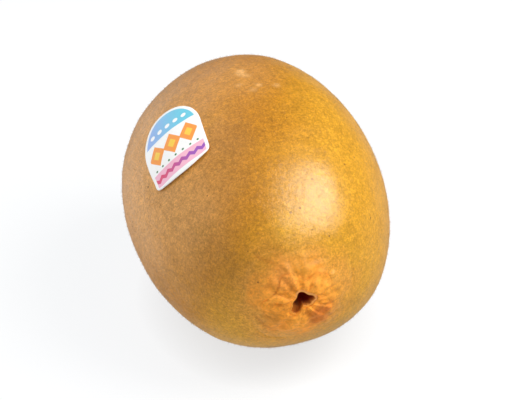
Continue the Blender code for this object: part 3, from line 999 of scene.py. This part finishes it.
def sepal_grids(number, along, side):
    """Upper points, lower points and nearness to the rim of one sepal, over a grid along and across it."""
    start, end = CALYX_EDGE[2 * number][0], CALYX_EDGE[(2 * number + 2) % len(CALYX_EDGE)][0]
    end += 360 * (end < start)
    degrees = start - SEPAL_LAP + (end - start + 2 * SEPAL_LAP) * (1 + side) / 2
    past = np.maximum(0, np.maximum(start - degrees, degrees - end))
    angle = np.radians(degrees)
    reach = outline_radius(CALYX_EDGE, np.radians(np.clip(degrees, start, end)))
    reach = reach * (1 - SEPAL_LAP_TAPER * past)
    circle = cross_section(SEPAL_MIDWAY, angle)
    reach = reach + SEPAL_RAGGED * sepal_noise("ragged", circle, number)
    inner = outline_radius(SCAR_MOUTH, angle) + SEPAL_ROOT
    radius = inner + (reach - inner) * along
    flat = cross_section(radius, angle)
    spokes = circle + radius[..., None] * (0, 0.15, 0)

    lift = SEPAL_SEAT + SEPAL_OVERLAP * (1 + side) / 2
    lift = lift + SEPAL_CROWN * np.cos(math.pi / 2 * side) * np.sin(math.pi * along)
    wrinkle = abs(sepal_noise("spokes", spokes, number)) + 0.5 * abs(sepal_noise("flat", flat, number))
    rough = SEPAL_WRINKLE * wrinkle + SEPAL_LUMP * abs(sepal_noise("lumps", flat))
    lift = lift + rough * smooth(0, 0.2, along)
    curl = np.clip(1 + 0.6 * sepal_noise("curl", circle, number), 0, 3)
    lift = lift + (SEPAL_EDGE_CURL * abs(side) ** 6 + SEPAL_TIP_CURL * along**7) * curl
    lift = lift + relief_at(end_points(-1, radius, angle))
    rim = np.maximum(smooth(0.70, 1.0, along), smooth(0.80, 1.0, abs(side)))
    thickness = SEPAL_THICKNESS * (1 - (1 - SEPAL_RIM_SHARE) * rim)
    return end_points(-1, radius, angle, lift + thickness), end_points(-1, radius, angle, lift), rim


def make_sepals():
    """Five thin dry sepals pressed on the skin round the scar, wrinkled and ragged, each lapping the next."""
    along, side = np.meshgrid(np.linspace(0, 1, SEPAL_ROWS), np.linspace(-1, 1, SEPAL_COLUMNS), indexing="ij")
    points, faces, rims = [], [], []
    for number in range(len(CALYX_EDGE) // 2):
        upper, lower, rim = sepal_grids(number, along, side)
        sheet_points, sheet_faces = closed_sheet(upper, lower, sum(len(part) for part in points))
        points.append(sheet_points)
        faces += sheet_faces
        rims += [rim.ravel(), rim.ravel()]
    every = np.concatenate(points)
    piece = add_piece("dry_sepals", every, faces, sepal_material(), "dried_calyx")
    turn_outward(piece)
    add_attribute(piece, "rim", np.concatenate(rims))
    add_attribute(piece, "fold", fold_share(every[:, 0], every[:, 2]))


def tube(path, radii, sides, start):
    """Points and faces of a closed tapering tube along a path, numbered from start."""
    path = np.asarray(path)
    points = []
    for i, (centre, radius) in enumerate(zip(path, radii)):
        way = path[min(i + 1, len(path) - 1)] - path[max(i - 1, 0)]
        way /= np.linalg.norm(way)
        first = np.cross(way, (0.31, 0.22, 0.92))
        first /= np.linalg.norm(first)
        second = np.cross(way, first)
        for k in range(sides):
            turn = 2 * math.pi * k / sides
            points.append(centre + radius * (first * math.cos(turn) + second * math.sin(turn)))
    return np.array([*points, path[0], path[-1]]), body_faces(len(path), sides, start)


def style_path(seat, number, draw):
    """The middle line of one bent style, rooted round the seat and fanning out."""
    angle = STYLE_TURN * number + draw.uniform(-0.3, 0.3)
    outward = np.array((math.cos(angle), 0, math.sin(angle)))
    sideways = np.array((-math.sin(angle), 0, math.cos(angle)))
    rank = math.sqrt((number + 0.5) / STYLE_COUNT)
    root = seat + outward * STYLE_SPREAD * rank + np.array((0, STYLE_ROOT_HEIGHT, 0))
    tilt = math.radians(75 - 55 * rank + draw.uniform(-12, 12))
    length = draw.uniform(*STYLE_LENGTH)
    bend = draw.uniform(-0.5, 0.5)
    droop = draw.uniform(0.1, 0.6)
    path = []
    for share in np.linspace(0, 1, STYLE_POINTS):
        rise = math.sin(tilt) * share - droop * share**2 * 0.6
        run = math.cos(tilt) * share + 0.25 * droop * share**2
        path.append(root + length * (outward * run + np.array((0, rise, 0)) + sideways * bend * share**2))
    return path


def make_styles():
    """A withered tuft: bent, tapering styles that fan out of the dimple at the blossom end."""
    draw = np.random.default_rng(STYLE_SEED)
    seat = tip_point(1)
    stump = [seat + (0, height, 0) for height, radius in STUMP]
    tube_points, faces = tube(stump, [radius for height, radius in STUMP], STUMP_SIDES, 0)
    points = [tube_points]
    for number in range(STYLE_COUNT):
        path = style_path(seat, number, draw)
        thick = draw.uniform(*STYLE_RADIUS)
        radii = [thick * (1.15 - 0.75 * share) for share in np.linspace(0, 1, STYLE_POINTS)]
        tube_points, tube_faces = tube(path, radii, STYLE_SIDES, sum(len(part) for part in points))
        points.append(tube_points)
        faces += tube_faces
    every = np.concatenate(points)
    piece = add_piece("dry_styles", every, faces, style_material(), "dried_styles")
    turn_outward(piece)


def label_edge(angle):
    """A point of the label's edge, seen flat, at this angle round the middle of its arch."""
    side, up = math.cos(angle), math.sin(angle)
    half = LABEL_WIDTH / 2
    shoulder = LABEL_HEIGHT / 2 - LABEL_ARCH
    if up >= 0:
        return half * side, shoulder + LABEL_ARCH * up
    depth = LABEL_HEIGHT - LABEL_ARCH - LABEL_FOOT_BULGE
    reach = min(half / max(abs(side), 1e-6), depth / -up)
    across, down = abs(reach * side), -reach * up
    over_across, over_down = across - (half - LABEL_CORNER), down - (depth - LABEL_CORNER)
    if over_across > 0 and over_down > 0:
        pull = LABEL_CORNER / max(LABEL_CORNER, math.hypot(over_across, over_down))
        across = half - LABEL_CORNER + over_across * pull
        down = depth - LABEL_CORNER + over_down * pull
    down *= 1 + LABEL_FOOT_BULGE / depth * (1 - (across / half) ** 2)
    return math.copysign(across, side), shoulder - down


def make_label():
    """The label: thin paper that follows the skin, with its foot lifted a little."""
    across_way, up_way, _, centre = label_axes()
    turns = (np.arange(LABEL_SEGMENTS) + 0.5) * 2 * math.pi / LABEL_SEGMENTS
    edge = np.array([label_edge(turn) for turn in turns])
    flat = np.linspace(1 / LABEL_STEPS, 1, LABEL_STEPS)[:, None, None] * edge
    foot = on_skin(centre + flat[..., :1] * across_way + flat[..., 1:] * up_way)
    lift = LABEL_FOOT_LIFT * smooth(LABEL_FOOT_START, LABEL_HEIGHT / 2, -flat[..., 1]) + relief_at(foot)
    normals = smooth_normals(foot)
    base = foot + normals * (LABEL_SEAT + lift)[..., None]
    top = base + normals * LABEL_THICKNESS
    seat = on_skin(centre)
    height = LABEL_SEAT + relief_at(seat)
    middle = np.stack([seat + smooth_normals(seat) * (height + up) for up in (LABEL_THICKNESS, 0)])
    points = np.concatenate([top.reshape(-1, 3), base[::-1].reshape(-1, 3), middle])
    faces = body_faces(2 * LABEL_STEPS, LABEL_SEGMENTS)
    piece = add_piece("label_paper", points, faces, label_material(), "fruit_label")
    turn_outward(piece)


def make_floor():
    """A wide pale floor, shaded where the fruit is near; it isn't part of the fruit."""
    mesh = bpy.data.meshes.new("floor")
    corners = [(x * FLOOR_REACH, y * FLOOR_REACH, 0) for x, y in ((-1, -1), (1, -1), (1, 1), (-1, 1))]
    mesh.from_pydata(corners, [], [(0, 1, 2, 3)])
    paint = new_paint("floor_white")
    colour = paint.shade((FLOOR_SHADE,) * 3, paint.noise(paint.place(), 400, 2), 0.99, 1.01)
    near = paint.node("AmbientOcclusion", {"Distance": CONTACT_REACH}, samples=8).outputs["AO"]
    glow = paint.math("MULTIPLY_ADD", near, FLOOR_GLOW * CONTACT_SHADE, FLOOR_GLOW * (1 - CONTACT_SHADE))
    mesh.materials.append(paint.finish(colour, 0.7, Emission_Color=ROOM_COLOUR, Emission_Strength=glow))
    floor = add_object("floor", mesh)
    floor.visible_glossy = False


def add_softbox(name, toward, size, power, colour):
    """A round area light in this direction from the fruit, facing it."""
    light = bpy.data.lights.new(name, "AREA")
    light.shape = "DISK"
    light.size = size
    light.energy = power
    light.color = colour
    lamp = add_object(name, light)
    stand_off(lamp, Vector(toward).normalized(), LAMP_DISTANCE)
    lamp.visible_camera = False
    return lamp


def make_light():
    """A key light, one that only gives the highlight, and a world that is brighter behind the fruit.

    The world glows from below too, as a lit floor would. The floor hides that from all but reflections.
    """
    paint = Painter(bpy.data.worlds.new("surround"))
    way = paint.node("TexCoord", {}).outputs["Generated"]
    behind = paint.dot(way, BACKDROP_WAY)
    backdrop = paint.rise(behind, *BACKDROP_SPREAD, BACKDROP_STRENGTH, ROOM_STRENGTH)
    below = paint.rise(paint.parts(way)["Z"], 0.0, -FLOOR_GLOSS_FADE, FLOOR_GLOSS)
    background = paint.nodes["Background"]
    paint.feed(background.inputs["Color"], ROOM_COLOUR)
    paint.feed(background.inputs["Strength"], paint.math("MAXIMUM", backdrop, below))
    bpy.context.scene.world = paint.owner
    key = add_softbox("key", KEY_WAY, KEY_SIZE, KEY_POWER, KEY_COLOUR)
    key.visible_glossy = False
    glint = add_softbox("glint", GLINT_WAY, GLINT_SIZE, GLINT_POWER, GLINT_COLOUR)
    glint.visible_diffuse = False
    view = bpy.context.scene.view_settings
    view.view_transform = "Standard"
    view.look = "None"


def make_camera():
    """A long lens at the photo's viewing angle."""
    azimuth, elevation = math.radians(CAMERA_AZIMUTH), math.radians(CAMERA_ELEVATION)
    level = math.cos(elevation)
    back = Vector((math.sin(azimuth) * level, -math.cos(azimuth) * level, math.sin(elevation)))
    camera = add_object("camera", bpy.data.cameras.new("camera"))
    stand_off(camera, back, CAMERA_DISTANCE)
    camera.data.lens = CAMERA_LENS
    camera.data.clip_start = 0.05
    camera.data.clip_end = 20
    bpy.context.scene.camera = camera


make_camera()
make_light()
make_floor()
skin_surface = make_skin()
make_fuzz(skin_surface)
make_sepals()
make_styles()
make_label()
